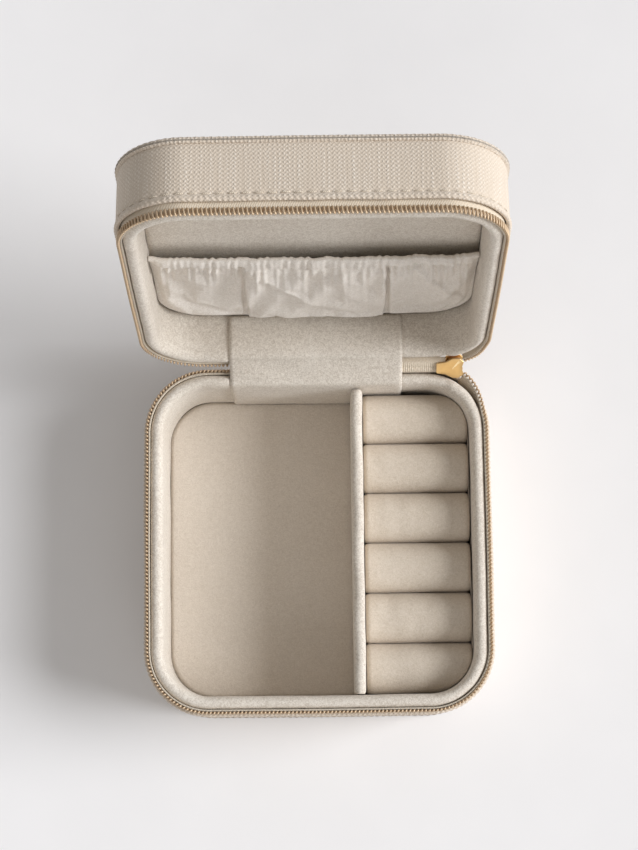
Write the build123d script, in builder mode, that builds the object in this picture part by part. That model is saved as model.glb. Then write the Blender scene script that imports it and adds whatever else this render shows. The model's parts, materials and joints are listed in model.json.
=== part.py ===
from build123d import *
import os
from math import cos, radians, sin

# A zip-around travel jewelry case with its lid open.
# Millimetres. Origin: centre of the underside. +X to the right, +Y to the hinge, +Z up.
# Offsets are measured outwards from the zip line, the rounded square on which the teeth meet.
# Depths are measured from the zip plane, down into the base or up into the lid.

# --- driving dimensions -------------------------------------------------------------------
zip_side = 100.0
corner_r = 18.0
base_depth = 34.0
lid_depth = 22.2
open_angle = 102.0

canvas_out = 0.8
canvas_thick = 1.0
tape_thick = 0.5
tape_out = -0.4
board_out = tape_out - tape_thick
board_in = -2.4
lining_in = -4.7
lip_out = -1.8

lip_round = 1.3

tape_near = 0.8            # the tape's free edge, just under the teeth
tape_bare = 4.4            # depth at which the canvas edge crosses the zip tape
tape_end = 12.0            # the tape runs on between board and canvas
coil_near, coil_far = 0.15, 2.2
coil_out = 0.6
lip_top = 1.7
lip_under = 3.6
board_top = 3.8
panel_thick = 1.0
plate_thick = 2.0
panel_out = -0.7
panel_round = 0.4
welt_size = 1.5
welt_out = canvas_out + 0.1
welt_round = 0.7
floor_depth = 29.7
ceiling_depth = 14.3
pad_round = 0.6

half = zip_side / 2
hinge_y = half + canvas_out
swing = radians(open_angle)
mid_swing = radians(open_angle / 2)

# --- frames -------------------------------------------------------------------------------
hinge = Vector(0, hinge_y, base_depth)
lid_down = Vector(0, cos(swing), -sin(swing))      # from the lid's middle towards the hinge
lid_out = Vector(0, sin(swing), cos(swing))        # from the zip plane to the lid's top
across = Vector(0, sin(mid_swing), cos(mid_swing))  # across the closed chain, base to lid
inward = Vector(0, -cos(mid_swing), sin(mid_swing))  # from the chain into the open case

base_rim = Plane(origin=(0, 0, base_depth), x_dir=(1, 0, 0), z_dir=(0, 0, -1))
lid_rim = Plane(origin=hinge - lid_down * hinge_y, x_dir=(1, 0, 0), z_dir=lid_out)
lid_side = Plane(origin=lid_rim.origin, x_dir=lid_down, z_dir=(1, 0, 0))
chain_side = Plane(origin=hinge, x_dir=across, z_dir=(1, 0, 0))
back_sign = {"base": -1, "lid": 1}                 # where the hinge lies along each rim's own y
rims = {"base": base_rim, "lid": lid_rim}
depths = {"base": base_depth, "lid": lid_depth}

os.makedirs("parts", exist_ok=True)


def save(part, name):
    part.label = name
    export_step(part, f"parts/{name}.step")


def outline(offset, mode=Mode.ADD):
    """A rounded square at an offset from the zip line, in the current sketch."""
    side = 2 * (half + offset)
    RectangleRounded(side, side, corner_r + offset, mode=mode)


def edges_at(part, rim, depth):
    """A part's edges that lie level at one depth."""
    return [e for e in part.edges() if abs(rim.to_local_coords(e.center()).Z - depth) < 0.01]


def ring(rim, inner, outer, near, far):
    """A wall that follows the zip line, between two offsets and two depths."""
    with BuildPart() as wall:
        with BuildSketch(rim.offset(near)):
            outline(outer)
            outline(inner, mode=Mode.SUBTRACT)
        extrude(amount=far - near)
    return wall.part


def plate(rim, outer, near, far, edge_r, edge_depth):
    """A panel that fills the outline, its rim at edge_depth rounded over."""
    with BuildPart() as panel:
        with BuildSketch(rim.offset(near)):
            outline(outer)
        extrude(amount=far - near)
        if edge_r:
            fillet(edges_at(panel, rim, edge_depth), edge_r)
    return panel.part


# --- casings: board walls and plates, canvas skins, linings --------------------------------
welt_sink = 0.2
lining_clear = 0.1
for name, rim in rims.items():
    deep = depths[name]
    plate_far = deep - panel_thick
    plate_near = plate_far - plate_thick
    welt_far = deep - welt_sink
    save(ring(rim, board_in, board_out, board_top, plate_near), f"{name}_wall_board")
    save(plate(rim, board_out, plate_near, plate_far, 0, 0), f"{name}_plate_board")
    save(
        ring(rim, canvas_out - canvas_thick, canvas_out, tape_bare, welt_far - welt_size),
        f"{name}_canvas_band",
    )
    save(plate(rim, panel_out, plate_far, deep, panel_round, deep), f"{name}_canvas_panel")

    with BuildPart() as welt:
        with BuildSketch(rim.offset(welt_far - welt_size)):
            outline(welt_out)
            outline(welt_out - welt_size, mode=Mode.SUBTRACT)
        extrude(amount=welt_size)
        fillet(welt.edges(), welt_round)
    save(welt.part, f"{name}_welt")

    # the lining's padded lip stands over the board's edge, rounded on both sides
    with BuildPart() as lining:
        with BuildSketch(rim.offset(lip_top)):
            outline(lip_out)
            outline(lining_in, mode=Mode.SUBTRACT)
        extrude(amount=lip_under - lip_top)
        with BuildSketch(rim.offset(lip_under)):
            outline(board_in)
            outline(lining_in, mode=Mode.SUBTRACT)
        extrude(amount=plate_near - lip_under)
        fillet(edges_at(lining, rim, lip_top), lip_round)
    save(lining.part, f"{name}_wall_lining")

pads = {"base_floor_pad": ("base", floor_depth), "lid_ceiling_pad": ("lid", ceiling_depth)}
for pad, (name, face) in pads.items():
    back = depths[name] - panel_thick - plate_thick
    save(plate(rims[name], lining_in - lining_clear, face, back, pad_round, face), pad)

# --- divider and ring rolls ---------------------------------------------------------------
floor_z = base_depth - floor_depth
divider_x = 11.8
divider_thick = 3.4
divider_top = 32.0
divider_round = 1.5
divider_wrap = 2.0         # the cover's thickness over the board's top edge
divider_board_thick = 1.2
slot_play = 0.1
insert_clear = 0.2
strap_clear = 1.0
front_y = -(half + lining_in) + insert_clear
back_y = half + lining_in - strap_clear
insert_mid = (front_y + back_y) / 2
insert_length = back_y - front_y
divider_plane = Plane.XZ.offset(-back_y)

with BuildPart() as divider_cover:
    with BuildSketch(divider_plane):
        with Locations((divider_x, (floor_z + divider_top) / 2)):
            body = Rectangle(divider_thick, divider_top - floor_z)
        fillet(body.vertices().sort_by(Axis.Y)[-2:], divider_round)
        with Locations((divider_x, floor_z)):
            Rectangle(
                divider_board_thick + 2 * slot_play,
                2 * (divider_top - floor_z - divider_wrap),
                mode=Mode.SUBTRACT,
            )
    extrude(amount=insert_length)
save(divider_cover.part, "divider_cover")

with BuildPart() as divider_board:
    with BuildSketch(divider_plane):
        with Locations((divider_x, (floor_z + divider_top - divider_wrap) / 2)):
            Rectangle(divider_board_thick, divider_top - divider_wrap - floor_z - 2 * slot_play)
    extrude(amount=insert_length)
save(divider_board.part, "divider_board")

roll_count = 6
roll_left = divider_x + divider_thick / 2 + insert_clear
roll_right = half + lining_in - insert_clear
card_thick = 1.0
roll_top = 26.0
roll_gap = 0.1
roll_round = 5.6
pitch = insert_length / roll_count


def insert_corners(part_top):
    """The insert's plan follows the rounded corners of the lining."""
    with BuildSketch(Plane.XY.offset(floor_z)) as plan:
        outline(lining_in - insert_clear)
    extrude(plan.sketch, amount=part_top - floor_z, mode=Mode.INTERSECT)


with BuildPart() as ring_roll_card:
    with BuildSketch(Plane.XY.offset(floor_z)):
        with Locations(((roll_left + roll_right) / 2, insert_mid)):
            Rectangle(roll_right - roll_left, insert_length)
    extrude(amount=card_thick)
    insert_corners(roll_top)
save(ring_roll_card.part, "ring_roll_card")

for index in range(roll_count):
    middle = back_y - (index + 0.5) * pitch
    bottom = floor_z + card_thick
    with BuildPart() as ring_roll:
        with BuildSketch(Plane.YZ.offset(roll_left)):
            with Locations((middle, (bottom + roll_top) / 2)):
                section = Rectangle(pitch - roll_gap, roll_top - bottom)
            fillet(section.vertices().sort_by(Axis.Y)[-2:], roll_round)
        extrude(amount=roll_right - roll_left)
        insert_corners(roll_top)
    save(ring_roll.part, f"ring_roll_{index + 1}")

# --- zip halves: tape and coil round the case, open at the back -----------------------------
zip_start = -23.0          # the left ends, tucked behind the hinge strap
slider_mouth = 44.9        # the right ends, where each half leaves the slider
stop_length = 1.6
stop_thick = 0.9
stop_out = 0.05
stop_near, stop_far = 0.3, 2.4
stop_gap = 0.1             # between a stop and the coil beside it
cut_in = 30.0              # how far in from the middle the cut at the back begins


def back_cut(rim, sign, left, right, far):
    """Remove the stretch at the hinge side between two x positions."""
    with BuildSketch(rim) as cut:
        with Locations(((left + right) / 2, sign * (cut_in + half))):
            Rectangle(right - left, 2 * half)
    extrude(cut.sketch, amount=far, mode=Mode.SUBTRACT)


for name, rim in rims.items():
    sign = back_sign[name]
    with BuildPart() as zip_tape:
        add(ring(rim, board_out, tape_out, tape_near, tape_end))
        back_cut(rim, sign, zip_start, slider_mouth, tape_end)
    save(zip_tape.part, f"{name}_zip_tape")

    with BuildPart() as zip_coil:
        add(ring(rim, tape_out, coil_out, coil_near, coil_far))
        back_cut(rim, sign, zip_start - stop_length - stop_gap, slider_mouth, tape_end)
    save(zip_coil.part, f"{name}_zip_coil")

    with BuildPart() as top_stop:
        with BuildSketch(rim.offset(stop_near)):
            with Locations((zip_start - stop_length / 2, sign * (half + stop_out))):
                Rectangle(stop_length, stop_thick)
        extrude(amount=stop_far - stop_near)
    save(top_stop.part, f"{name}_top_stop")

# --- closed chain at the hinge's right, the slider and its pull ------------------------------
chain_left, chain_right = 24.2, 40.2
chain_level = 0.6          # the chain's tape lies this far inside the hinge axis
chain_half_width = 1.5
coil_thick = 1.2
coil_inset = 0.2
coil_round = 0.3
coil_sink = 0.1            # the coils press this far into the tape
bottom_stop_width, bottom_stop_thick = 3.4, 1.6
slider_x = 39.5

with BuildPart() as closed_zip_chain:
    with BuildSketch(chain_side.offset(chain_left)):
        with Locations((0, chain_level)):
            Rectangle(2 * chain_half_width, tape_thick)
        with Locations((0, chain_level - (tape_thick + coil_thick) / 2 + coil_sink)):
            RectangleRounded(2 * (chain_half_width - coil_inset), coil_thick, coil_round)
    extrude(amount=chain_right - chain_left)
save(closed_zip_chain.part, "closed_zip_chain")

with BuildPart() as bottom_stop:
    with BuildSketch(chain_side.offset(chain_left - stop_gap)):
        with Locations((0, stop_out)):
            RectangleRounded(bottom_stop_width, bottom_stop_thick, coil_round)
    extrude(amount=-stop_length)
save(bottom_stop.part, "zip_bottom_stop")

# the tapes of the closed stretch: one leg runs down into the base, one into the lid
legs_right = 34.0
leg_near = 0.85
with BuildPart() as chain_tapes:
    for name, rim in rims.items():
        leg_y = back_sign[name] * (half + (tape_out + board_out) / 2)
        with BuildSketch(rim.offset(leg_near)):
            with Locations(((chain_left + legs_right) / 2, leg_y)):
                Rectangle(legs_right - chain_left, tape_thick)
        extrude(amount=tape_end - leg_near)
save(chain_tapes.part, "chain_tapes")

wing_thick = 0.8
inner_wing = chain_level + 0.6
outer_wing = -1.0
tail_w, shoulder_w = 1.9, 3.3
tail_x, waist_x, shoulder_x, nose_x = -4.1, -1.2, 1.0, 4.1
waist_w = tail_w + 0.3
nose_w = tail_w - 0.2
nose_back = nose_x - 1.2
wing_round = 0.55
post_x, post_side, post_round = 1.9, 1.7, 0.5
guide_x, guide_y = -2.3, 1.75
guide_length, guide_thick, guide_height = 3.2, 0.3, 0.9
lap = 0.1                  # how far joined shapes run into each other
bridge_half, bridge_rise, bridge_width = 2.4, 2.2, 1.2
bridge_hole_half, bridge_hole_rise = 1.5, 1.4
bridge_round, bridge_hole_round = 0.9, 0.3
slider_origin = hinge + Vector(slider_x, 0, 0)
slider_plane = Plane(origin=slider_origin, x_dir=(1, 0, 0), z_dir=inward)
bridge_plane = Plane(origin=slider_origin, x_dir=(1, 0, 0), z_dir=across)
base_line = outer_wing - wing_thick


def wing(level):
    """A slider wing: a narrow tail, round shoulders and a blunt nose."""
    with BuildSketch(slider_plane.offset(level)) as shape:
        with BuildLine():
            Polyline(
                (tail_x, -tail_w), (waist_x, -waist_w), (shoulder_x, -shoulder_w), (nose_back, -shoulder_w),
                (nose_x, -nose_w), (nose_x, nose_w),
                (nose_back, shoulder_w), (shoulder_x, shoulder_w), (waist_x, waist_w), (tail_x, tail_w),
                close=True,
            )
        make_face()
        fillet(shape.vertices(), wing_round)
    return shape.sketch


with BuildPart() as zip_slider:
    extrude(wing(inner_wing), amount=wing_thick)
    extrude(wing(base_line), amount=wing_thick)
    with BuildSketch(slider_plane.offset(outer_wing - 2 * lap)):
        with Locations((post_x, 0)):
            RectangleRounded(post_side, post_side, post_round, rotation=45)
    extrude(amount=inner_wing - outer_wing + 4 * lap)
    with BuildSketch(slider_plane.offset(outer_wing - lap)):
        with Locations((guide_x, guide_y), (guide_x, -guide_y)):
            Rectangle(guide_length, guide_thick)
    extrude(amount=guide_height)
    with BuildSketch(bridge_plane.offset(-bridge_width / 2)):
        # local y of this plane points from the inner wing to the outer one
        with Locations((0, -base_line + bridge_rise / 2 - lap)):
            RectangleRounded(2 * bridge_half, bridge_rise + 2 * lap, bridge_round)
        with Locations((0, -base_line + bridge_hole_rise / 2)):
            RectangleRounded(2 * bridge_hole_half, bridge_hole_rise, bridge_hole_round, mode=Mode.SUBTRACT)
    extrude(amount=bridge_width)
save(zip_slider.part, "zip_slider")

pivot_drop = -base_line + bridge_hole_rise / 2
pin_r = 0.45
cheek_in, cheek_out = 0.95, 1.7
cheek_mid = (cheek_in + cheek_out) / 2
tab_start, tab_end, tab_half, tab_thick = 3.1, 17.0, 2.3, 1.0
tab_tip_round, tab_shoulder_round = 2.0, 0.5
pivot = slider_origin - inward * pivot_drop
pull_plane = Plane(origin=pivot, x_dir=across, z_dir=(1, 0, 0))
pin_plane = Plane(origin=pivot, x_dir=(1, 0, 0), z_dir=across)

with BuildPart() as zip_pull:
    with BuildSketch(pin_plane.offset(-cheek_out)):
        Circle(pin_r)
    extrude(amount=2 * cheek_out)
    with BuildSketch(pull_plane.offset(-tab_thick / 2)):
        with Locations((0, -(tab_start + tab_end) / 2)):
            tab = Rectangle(2 * tab_half, tab_end - tab_start)
        fillet(tab.vertices().sort_by(Axis.Y)[:2], tab_tip_round)
        fillet(tab.vertices().sort_by(Axis.Y)[-2:], tab_shoulder_round)
        with Locations((cheek_mid, -tab_start / 2), (-cheek_mid, -tab_start / 2)):
            Rectangle(cheek_out - cheek_in, tab_start + 2 * lap)
    extrude(amount=tab_thick)
save(zip_pull.part, "zip_pull")

# --- soft hinge: suede strap inside, canvas spine outside -----------------------------------
strap_half = 25.4
strap_thick = 0.8
strap_in = half + lining_in - 0.45
strap_end = 0.4            # its ends stop this far above the floor and the ceiling
strap_low = floor_z + strap_end
strap_turn = base_depth - 1.25
strap_rise = 1.5
strap_reach = 2.2
strap_bend = 1.2
spine_half = 22.0
spine_thick = 0.8
spine_in = half + canvas_out - canvas_thick / 2
spine_lap = 0.1
spine_turn = 0.9
spine_apex = -0.2
spine_bend = 0.5


def chain_point(along, up):
    """A point beside the hinge axis, by its distance across the chain and into the case."""
    spot = hinge + across * along + inward * up
    return (spot.Y, spot.Z)


def lid_point(local_y, depth):
    """A point given in the lid's own frame."""
    spot = lid_rim.origin + lid_down * local_y + lid_out * depth
    return (spot.Y, spot.Z)


with BuildPart() as hinge_strap:
    with BuildSketch(Plane.YZ.offset(-strap_half)):
        with BuildLine():
            FilletPolyline(
                (strap_in, strap_low),
                (strap_in, strap_turn),
                chain_point(-strap_reach, strap_rise),
                chain_point(strap_reach, strap_rise),
                lid_point(strap_in, base_depth - strap_turn),
                lid_point(strap_in, ceiling_depth - strap_end),
                radius=strap_bend,
            )
        trace(line_width=strap_thick)
    extrude(amount=2 * strap_half)
save(hinge_strap.part, "hinge_strap")

with BuildPart() as hinge_canvas:
    with BuildSketch(Plane.YZ.offset(-spine_half)):
        with BuildLine():
            FilletPolyline(
                (spine_in, base_depth - tape_bare + spine_lap),
                (spine_in, base_depth - spine_turn),
                chain_point(0, spine_apex),
                lid_point(spine_in, spine_turn),
                lid_point(spine_in, tape_bare - spine_lap),
                radius=spine_bend,
            )
        trace(line_width=spine_thick)
    extrude(amount=2 * spine_half)
save(hinge_canvas.part, "hinge_canvas")

# --- lid pocket: a slack suede pouch on the ceiling with elastic in its hem -------------------
pocket_half = half + lining_in - 0.7
pocket_hem_y = -3.5
pocket_low_y = half + lining_in - 1.8
pocket_wall = 0.9
pocket_proud = 4.1
pocket_seam = 1.1
pocket_corner = 13.0
pocket_back = ceiling_depth - 0.05
elastic_width, elastic_thick = 5.0, 0.6
elastic_clear = 0.3
elastic_near = pocket_wall + 0.02
pocket_slope = (pocket_proud - pocket_seam) / (pocket_low_y - pocket_hem_y)


def pocket_face(y):
    """Depth of the pouch's outer face, at a place along the lid."""
    return ceiling_depth - pocket_proud + pocket_slope * (y - pocket_hem_y)


def pouch(inset, near_shift, start_y):
    """A wedge that lies on the ceiling, with the lining's round corners at its foot."""
    low_y = pocket_low_y - inset
    with BuildPart() as wedge:
        with BuildSketch(lid_side.offset(-(pocket_half - inset))):
            with BuildLine():
                Polyline(
                    (start_y, pocket_face(start_y) + near_shift),
                    (low_y, pocket_face(low_y) + near_shift),
                    (low_y, pocket_back),
                    (start_y, pocket_back),
                    close=True,
                )
            make_face()
        extrude(amount=2 * (pocket_half - inset))
        straight = wedge.edges().filter_by(GeomType.LINE)
        upright = [e for e in straight if abs(e.tangent_at(0.5).dot(lid_out)) > 0.99]
        foot = [e for e in upright if lid_rim.to_local_coords(e.center()).Y > 0]
        fillet(foot, pocket_corner - inset)
    return wedge.part


with BuildPart() as lid_pocket:
    add(pouch(0, 0, pocket_hem_y))
    add(pouch(pocket_wall, pocket_wall, pocket_hem_y - 1.0), mode=Mode.SUBTRACT)
save(lid_pocket.part, "lid_pocket")

with BuildPart() as pocket_elastic:
    elastic_half = pocket_half - pocket_wall - elastic_clear
    with BuildSketch(lid_side.offset(-elastic_half)):
        with BuildLine():
            first = pocket_hem_y + elastic_clear
            last = first + elastic_width
            Polyline(
                (first, pocket_face(first) + elastic_near),
                (last, pocket_face(last) + elastic_near),
                (last, pocket_face(last) + elastic_near + elastic_thick),
                (first, pocket_face(first) + elastic_near + elastic_thick),
                close=True,
            )
        make_face()
    extrude(amount=2 * elastic_half)
save(pocket_elastic.part, "pocket_elastic")
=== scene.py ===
import json
import math

import bmesh
import bpy
import numpy as np
from mathutils import Matrix, Vector


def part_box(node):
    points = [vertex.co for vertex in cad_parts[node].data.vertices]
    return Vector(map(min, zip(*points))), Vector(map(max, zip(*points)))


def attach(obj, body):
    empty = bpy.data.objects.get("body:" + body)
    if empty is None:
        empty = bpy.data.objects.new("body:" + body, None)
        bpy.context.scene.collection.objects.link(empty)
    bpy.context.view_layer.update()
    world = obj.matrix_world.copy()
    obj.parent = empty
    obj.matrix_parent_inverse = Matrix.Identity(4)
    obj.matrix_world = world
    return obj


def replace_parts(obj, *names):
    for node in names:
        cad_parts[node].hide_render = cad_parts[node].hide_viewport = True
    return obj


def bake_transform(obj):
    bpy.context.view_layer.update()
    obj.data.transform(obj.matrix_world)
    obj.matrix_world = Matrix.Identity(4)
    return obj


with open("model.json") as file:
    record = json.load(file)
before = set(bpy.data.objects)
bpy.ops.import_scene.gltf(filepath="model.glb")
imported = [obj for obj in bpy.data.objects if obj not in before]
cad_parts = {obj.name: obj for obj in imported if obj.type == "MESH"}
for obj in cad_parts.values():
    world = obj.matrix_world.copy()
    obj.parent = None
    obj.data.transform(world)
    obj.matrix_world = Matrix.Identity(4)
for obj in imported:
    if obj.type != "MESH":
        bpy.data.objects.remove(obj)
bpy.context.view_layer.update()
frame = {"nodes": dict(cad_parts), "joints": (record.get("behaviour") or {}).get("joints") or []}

# ------------------------------------------------------------------ sizes, in millimetres
MM = 0.001
JOINTS = {j["name"]: j for j in frame["joints"]}
HINGE = np.array(JOINTS["lid_hinge"]["pos_m"]) / MM
SWING = math.radians(JOINTS["lid_hinge"]["range_deg"][1])
CANVAS_OUT = 0.8                                   # canvas face outside the zip line
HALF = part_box("base_canvas_band")[1].x / MM - CANVAS_OUT
CORNER_R = 18.0
STRAIGHT = HALF - CORNER_R
ARC = CORNER_R * math.pi / 2
PERIMETER = 8 * STRAIGHT + 4 * ARC
BULGE = 0.12                                       # the long sides bow out by this much
DEPTH = {"base": HINGE[2], "lid": 22.2}
FLOOR_DEPTH = {"base": 29.7, "lid": 14.3}
TAPE_BARE = 4.0
LINING_IN = -4.7

X_AXIS, Y_AXIS, Z_AXIS = np.eye(3)
LID_DOWN = np.array((0.0, math.cos(SWING), -math.sin(SWING)))
LID_OUT = np.array((0.0, math.sin(SWING), math.cos(SWING)))
ACROSS = np.array((0.0, math.sin(SWING / 2), math.cos(SWING / 2)))
INWARD = np.array((0.0, -math.cos(SWING / 2), math.sin(SWING / 2)))

# every frame: origin, then the directions of its three coordinates. In the halves' frames the third
# coordinate is the depth below the rim; the pull's run across, away from the case and along x.
FRAMES = {
    "base": (HINGE[2] * Z_AXIS, X_AXIS, Y_AXIS, -Z_AXIS),
    "lid": (HINGE - LID_DOWN * HINGE[1], X_AXIS, LID_DOWN, LID_OUT),
    "chain": (HINGE, X_AXIS, ACROSS, INWARD),
    "pull": (np.array(JOINTS["pull_swing"]["pos_m"]) / MM, ACROSS, -INWARD, X_AXIS),
    "row": (np.zeros(3), X_AXIS, Y_AXIS, Z_AXIS),
}


def place(where, points):
    """Points (..., 3) of a named frame, in mm, as row-frame points in metres."""
    origin, a, b, c = FRAMES[where]
    p = np.asarray(points, float)
    return (origin + p[..., :1] * a + p[..., 1:2] * b + p[..., 2:3] * c) * MM


def unplace(where, points):
    """Row-frame points in metres as points of a named frame, in mm."""
    origin, a, b, c = FRAMES[where]
    p = np.asarray(points, float) / MM - origin
    return np.stack([p @ a, p @ b, p @ c], -1)


def waves(seed, *fields, count=5, spread=(0.6, 1.6)):
    """A smooth random field, about -1 to 1, of coordinates already divided by their wavelengths."""
    rng = np.random.default_rng(seed)
    total = 0.0
    for _ in range(count):
        turn = rng.uniform(0, 2 * math.pi)
        phase = sum(
            2 * math.pi * f * rng.uniform(*spread) * (math.cos(turn) if k else math.sin(turn) * 0.7 + 0.8)
            for k, f in enumerate(fields)
        )
        total = total + np.sin(phase + rng.uniform(0, 2 * math.pi)) * rng.uniform(0.6, 1.0)
    return total / count * 1.6


def smooth(t):
    """0 below 0, 1 above 1, with a soft step between."""
    t = np.clip(t, 0, 1)
    return t * t * (3 - 2 * t)


def bell(x, width):
    """1 at 0, falling off on both sides."""
    return np.exp(-((x / width) ** 2))


def quarter_round(t):
    """The height of a quarter circle's arc, 0 at 0 and 1 from 1 on."""
    return np.sqrt(np.clip(1 - (1 - np.clip(t, 0, 1)) ** 2, 0, 1))


def lift(flat, depth):
    """Flat points with depth as their third coordinate."""
    third = np.broadcast_to(np.asarray(depth, float)[..., None], flat.shape[:-1] + (1,))
    return np.concatenate([flat, third], -1)


def node_box(name):
    """A CAD node's box: x0, x1, y0, y1, z0, z1, in mm."""
    low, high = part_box(name)
    return tuple(v / MM for pair in zip(low, high) for v in pair)


# ------------------------------------------------------------------ the zip line
def rim(s, offset=0.0):
    """Points (x, towards the hinge) on the zip line moved out by offset. s runs from the hinge's
    middle leftwards round the case, in mm."""
    s, offset = np.broadcast_arrays(np.mod(np.asarray(s, float), PERIMETER), np.asarray(offset, float))
    x, y = np.zeros(s.shape), np.zeros(s.shape)
    # each straight run: its length, where it starts and its outward normal
    runs = [
        (STRAIGHT, (0, HALF), (0, 1)),
        (2 * STRAIGHT, (-HALF, STRAIGHT), (-1, 0)),
        (2 * STRAIGHT, (-STRAIGHT, -HALF), (0, -1)),
        (2 * STRAIGHT, (HALF, -STRAIGHT), (1, 0)),
        (STRAIGHT, (STRAIGHT, HALF), (0, 1)),
    ]
    start = 0.0
    for k, (run, (first_x, first_y), (nx, ny)) in enumerate(runs):
        inside = (s >= start - 1e-9) & (s <= start + run + 1e-9)
        t = s - start
        bow = BULGE * np.sin(np.pi * np.clip(t / run, 0, 1)) ** 2 if 0 < k < 4 else 0.0
        x = np.where(inside, first_x - ny * t + nx * (offset + bow), x)
        y = np.where(inside, first_y + nx * t + ny * (offset + bow), y)
        start += run
        if k < 4:
            # the corner after this run starts at its normal and turns a quarter
            centre_x, centre_y = STRAIGHT * (nx - ny), STRAIGHT * (ny + nx)
            inside = (s > start) & (s < start + ARC)
            angle = math.radians(90 + 90 * k) + (s - start) / CORNER_R
            x = np.where(inside, centre_x + (CORNER_R + offset) * np.cos(angle), x)
            y = np.where(inside, centre_y + (CORNER_R + offset) * np.sin(angle), y)
            start += ARC
    return np.stack([x, y], -1)


def corner_weight(s):
    """1 in the middle of each rounded corner, 0 on the straight sides."""
    s = np.mod(s, PERIMETER)
    total = np.zeros(np.shape(s))
    for k in range(4):
        middle = STRAIGHT + ARC / 2 + k * (2 * STRAIGHT + ARC)
        total = total + smooth(1 - np.abs(s - middle) / (ARC * 0.62))
    return total


# ------------------------------------------------------------------ meshes
def new_object(name, verts, faces, uv=None, material=None):
    """A smooth-shaded mesh object from points in metres; uv has one pair per point."""
    mesh = bpy.data.meshes.new(name)
    mesh.from_pydata([tuple(v) for v in np.asarray(verts, float).reshape(-1, 3)], [], faces)
    if uv is not None:
        layer = mesh.uv_layers.new(name="UVMap")
        index = np.zeros(len(mesh.loops), np.int32)
        mesh.loops.foreach_get("vertex_index", index)
        flat = np.asarray(uv, float).reshape(-1, 2)[index]
        layer.data.foreach_set("uv", flat.astype(np.float32).ravel())
    tidy = bmesh.new()
    tidy.from_mesh(mesh)
    bmesh.ops.recalc_face_normals(tidy, faces=tidy.faces)
    tidy.to_mesh(mesh)
    tidy.free()
    mesh.polygons.foreach_set("use_smooth", [True] * len(mesh.polygons))
    obj = bpy.data.objects.new(name, mesh)
    bpy.context.scene.collection.objects.link(obj)
    if material:
        mesh.materials.append(material)
    return obj


def grid_faces(rows, cols, wrap_rows=False, wrap_cols=False, first=0):
    """The quads of a grid of points, whose first point is number first in the mesh."""
    faces = []
    for i in range(rows if wrap_rows else rows - 1):
        for j in range(cols if wrap_cols else cols - 1):
            i2, j2 = (i + 1) % rows, (j + 1) % cols
            faces.append(tuple(first + a * cols + b for a, b in ((i, j), (i, j2), (i2, j2), (i2, j))))
    return faces


def lengths(points):
    """Running length along the last-but-one axis of points."""
    step = np.linalg.norm(np.diff(points, axis=-2), axis=-1)
    return np.concatenate([np.zeros(step.shape[:-1] + (1,)), np.cumsum(step, -1)], -1)


def loft_uv(sections, along=None):
    """A loft's texture places, in metres: how far along it and how far round its section."""
    about = lengths(sections)
    along = lengths(sections[:, 0]) if along is None else along
    return np.stack([np.broadcast_to(along[:, None], about.shape), about], -1)


def loft(name, sections, wrap, material, along=None):
    """A closed solid through sections (n, m, 3), each a closed loop; wrap joins the last to the first."""
    n, m, _ = sections.shape
    faces = grid_faces(n, m, wrap_rows=wrap, wrap_cols=True)
    if not wrap:
        faces += [tuple(range(m)), tuple(range((n - 1) * m, n * m))]
    return new_object(name, sections, faces, loft_uv(sections, along), material)


def resample(points, step):
    """Points spread evenly along a polyline (any dimension)."""
    points = np.asarray(points, float)
    at = lengths(points)
    count = max(2, int(round(at[-1] / step)) + 1)
    want = np.linspace(0, at[-1], count)
    return np.stack([np.interp(want, at, points[:, k]) for k in range(points.shape[1])], -1)


def soften(points, turns=2, closed=False):
    """Chaikin corner cutting; an open line keeps its ends."""
    p = np.asarray(points, float)
    for _ in range(turns):
        q = np.roll(p, -1, 0) if closed else p[1:]
        a = p if closed else p[:-1]
        cut = np.stack([0.75 * a + 0.25 * q, 0.25 * a + 0.75 * q], 1).reshape(-1, p.shape[1])
        p = cut if closed else np.vstack([p[:1], cut, p[-1:]])
    return p


def round_profile(loop, step):
    """A closed profile with its corners cut round and its points spread evenly."""
    first = loop[:1] * 0.75 + loop[1:2] * 0.25
    return resample(np.vstack([soften(loop, 2, closed=True), first]), step)[:-1]


def around(step):
    """Places round the whole zip line, about step apart."""
    return np.linspace(0, PERIMETER, int(PERIMETER / step), endpoint=False)


def ring(name, side, step, loop, ripple, material):
    """A profile loop (offset, depth) swept round the zip line; ripple(s, offset, depth) moves its points."""
    s = around(step)
    offset, depth = (np.broadcast_to(loop[:, k], (len(s), len(loop))) for k in (0, 1))
    offset, depth = ripple(s[:, None], offset, depth)
    sections = place(side, lift(rim(s[:, None], offset), depth))
    return loft(name, sections, True, material, along=s * MM)


def directions(line):
    """A polyline's unit tangents."""
    tangent = np.gradient(line, axis=0)
    return tangent / np.linalg.norm(tangent, axis=1, keepdims=True)


def leftward(tangent):
    """Flat directions turned a quarter to the left."""
    return np.column_stack([-tangent[:, 1], tangent[:, 0]])


def tube(points, ups, radius, sides, squash=1.0):
    """Rings of points round a line; ups are rough normals."""
    tangent = directions(points)
    side = np.cross(tangent, ups)
    side /= np.linalg.norm(side, axis=1, keepdims=True)
    up = np.cross(side, tangent)
    angle = np.arange(sides) * 2 * math.pi / sides
    r = np.broadcast_to(np.asarray(radius, float), (len(points),))[:, None, None]
    return (
        points[:, None]
        + side[:, None] * (np.cos(angle)[None, :, None] * r)
        + up[:, None] * (np.sin(angle)[None, :, None] * r * squash)
    )


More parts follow.
